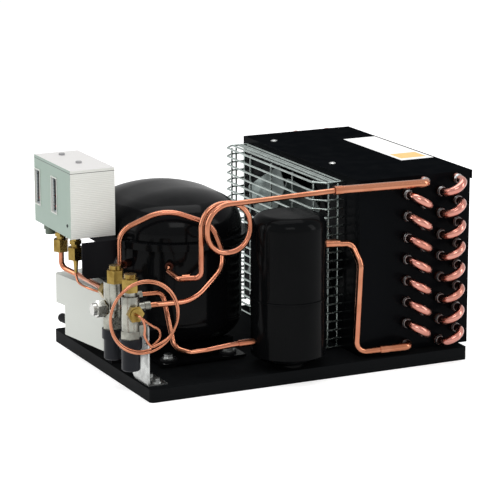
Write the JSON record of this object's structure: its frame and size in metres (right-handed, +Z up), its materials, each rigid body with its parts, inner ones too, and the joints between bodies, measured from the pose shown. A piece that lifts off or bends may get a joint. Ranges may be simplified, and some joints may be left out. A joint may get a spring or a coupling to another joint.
{
  "type": "air-cooled condensing unit",
  "caption": "Air-cooled condensing unit: hermetic compressor, receiver and finned fan condenser on a base tray, with service valves and a dual pressure control.",
  "frame": {"origin": "middle of the base tray's footprint, at the underside of its lips, between the four mounting holes", "axes": "+X to the right along the tray's front, +Y to the back, +Z up"},
  "size_m": [0.4688, 0.3737, 0.241],
  "materials": {
    "tray_paint": "satin black powder coat",
    "shell_paint": "gloss black enamel",
    "grommet_rubber": "matt black rubber",
    "zinc_fasteners": "bright zinc plate",
    "motor_steel": "bare laminations",
    "machined_steel": "machined",
    "block_iron": "cast",
    "plated_ports": "dark copper plate",
    "white_plastic": "white moulding",
    "dark_plastic": "black moulding",
    "receiver_paint": "gloss black enamel",
    "cabinet_paint": "gloss black powder coat",
    "fin_aluminium": "mill finish",
    "condenser_copper": "pinkish copper",
    "guard_wire": "bright plated wire",
    "motor_case": "cast",
    "bracket_paint": "black paint",
    "control_paint": "light grey enamel",
    "scale_metal": "bare scale plate",
    "pointer_red": "red",
    "brass_fittings": "machined brass",
    "gland_plastic": "grey green",
    "nickel_valve": "dull nickel plate",
    "line_copper": "drawn copper tube"
  },
  "bodies": {
    "unit": {"base_tray": "tray_paint", "compressor_lower_shell": "shell_paint", "compressor_upper_shell": "shell_paint", "compressor_feet": "shell_paint", "foot_grommets": "grommet_rubber", "fixing_bolts": "zinc_fasteners", "motor_stator": "motor_steel", "cylinder_block": "block_iron", "suspension_mounts": "grommet_rubber", "shell_ports": "plated_ports", "terminal_cover": "white_plastic", "starting_device": "dark_plastic", "cable_boot": "grommet_rubber", "receiver_top": "receiver_paint", "receiver_bottom": "receiver_paint", "receiver_bracket": "receiver_paint", "front_end_plate": "cabinet_paint", "rear_end_plate": "cabinet_paint", "fin_pack": "fin_aluminium", "coil_tubes": "condenser_copper", "front_return_bends": "condenser_copper", "rear_return_bends": "condenser_copper", "fan_shroud": "cabinet_paint", "top_cover": "cabinet_paint", "cover_screws": "zinc_fasteners", "fan_guard": "guard_wire", "fan_motor": "motor_case", "motor_bracket": "bracket_paint", "control_housing": "control_paint", "control_lid": "control_paint", "scale_plates": "scale_metal", "control_bellows": "brass_fittings", "switch_block": "dark_plastic", "control_flare_nuts": "brass_fittings", "cable_gland": "gland_plastic", "control_bracket": "bracket_paint", "valve_bracket": "zinc_fasteners", "suction_valve_body": "nickel_valve", "liquid_valve_body": "nickel_valve", "stem_caps": "dark_plastic", "valve_brass_nuts": "brass_fittings", "suction_tube": "line_copper", "discharge_line": "line_copper", "liquid_line": "line_copper", "condenser_outlet_line": "line_copper", "control_tube": "line_copper", "capillary_coil": "line_copper"},
    "fan": {"fan_shaft": "machined_steel", "fan_hub": "fin_aluminium", "fan_blades": "fin_aluminium"},
    "crank": {"motor_rotor": "motor_steel", "crankshaft": "machined_steel"},
    "piston_set": {"piston": "machined_steel", "connecting_rod": "machined_steel"},
    "range_spindle": {"range_screw": "machined_steel"},
    "range_pointer_body": {"range_pointer": "pointer_red"},
    "differential_spindle": {"differential_screw": "machined_steel"},
    "differential_pointer_body": {"differential_pointer": "pointer_red"},
    "suction_spindle": {"suction_stem": "machined_steel"},
    "liquid_spindle": {"liquid_stem": "machined_steel"}
  },
  "joints": [
    {"name": "fan_spin", "type": "hinge", "parent": "unit", "child": "fan", "pos_m": [0.0565, 0.038, 0.115], "axis": [1, 0, 0], "continuous": true},
    {"name": "crank_spin", "type": "hinge", "parent": "unit", "child": "crank", "pos_m": [-0.1045, 0.028, 0.11], "axis": [0, 0, 1], "continuous": true},
    {"name": "piston_stroke", "type": "slide", "parent": "unit", "child": "piston_set", "axis": [0, 1, 0], "range_m": [-0.016, 0]},
    {"name": "range_turn", "type": "hinge", "parent": "unit", "child": "range_spindle", "pos_m": [-0.2111, 0.08796, 0.23], "axis": [0, 0, 1], "range_deg": [0, 4321]},
    {"name": "range_travel", "type": "slide", "parent": "unit", "child": "range_pointer_body", "axis": [0, 0, 1], "range_m": [0, 0.024]},
    {"name": "differential_turn", "type": "hinge", "parent": "unit", "child": "differential_spindle", "pos_m": [-0.2111, 0.03599, 0.23], "axis": [0, 0, 1], "range_deg": [0, 4321]},
    {"name": "differential_travel", "type": "slide", "parent": "unit", "child": "differential_pointer_body", "axis": [0, 0, 1], "range_m": [0, 0.024]},
    {"name": "suction_stem_turn", "type": "hinge", "parent": "unit", "child": "suction_spindle", "pos_m": [-0.216, -0.1215, 0.08], "axis": [0, 0, 1], "range_deg": [0, 1800]},
    {"name": "liquid_stem_turn", "type": "hinge", "parent": "unit", "child": "liquid_spindle", "pos_m": [-0.2155, -0.07, 0.08], "axis": [0, 0, 1], "range_deg": [0, 1800]}
  ],
  "couplings": [
    {"joint": "range_turn", "follows": "range_travel", "rad_per_m": 3141.6},
    {"joint": "differential_turn", "follows": "differential_travel", "rad_per_m": 3141.6}
  ]
}
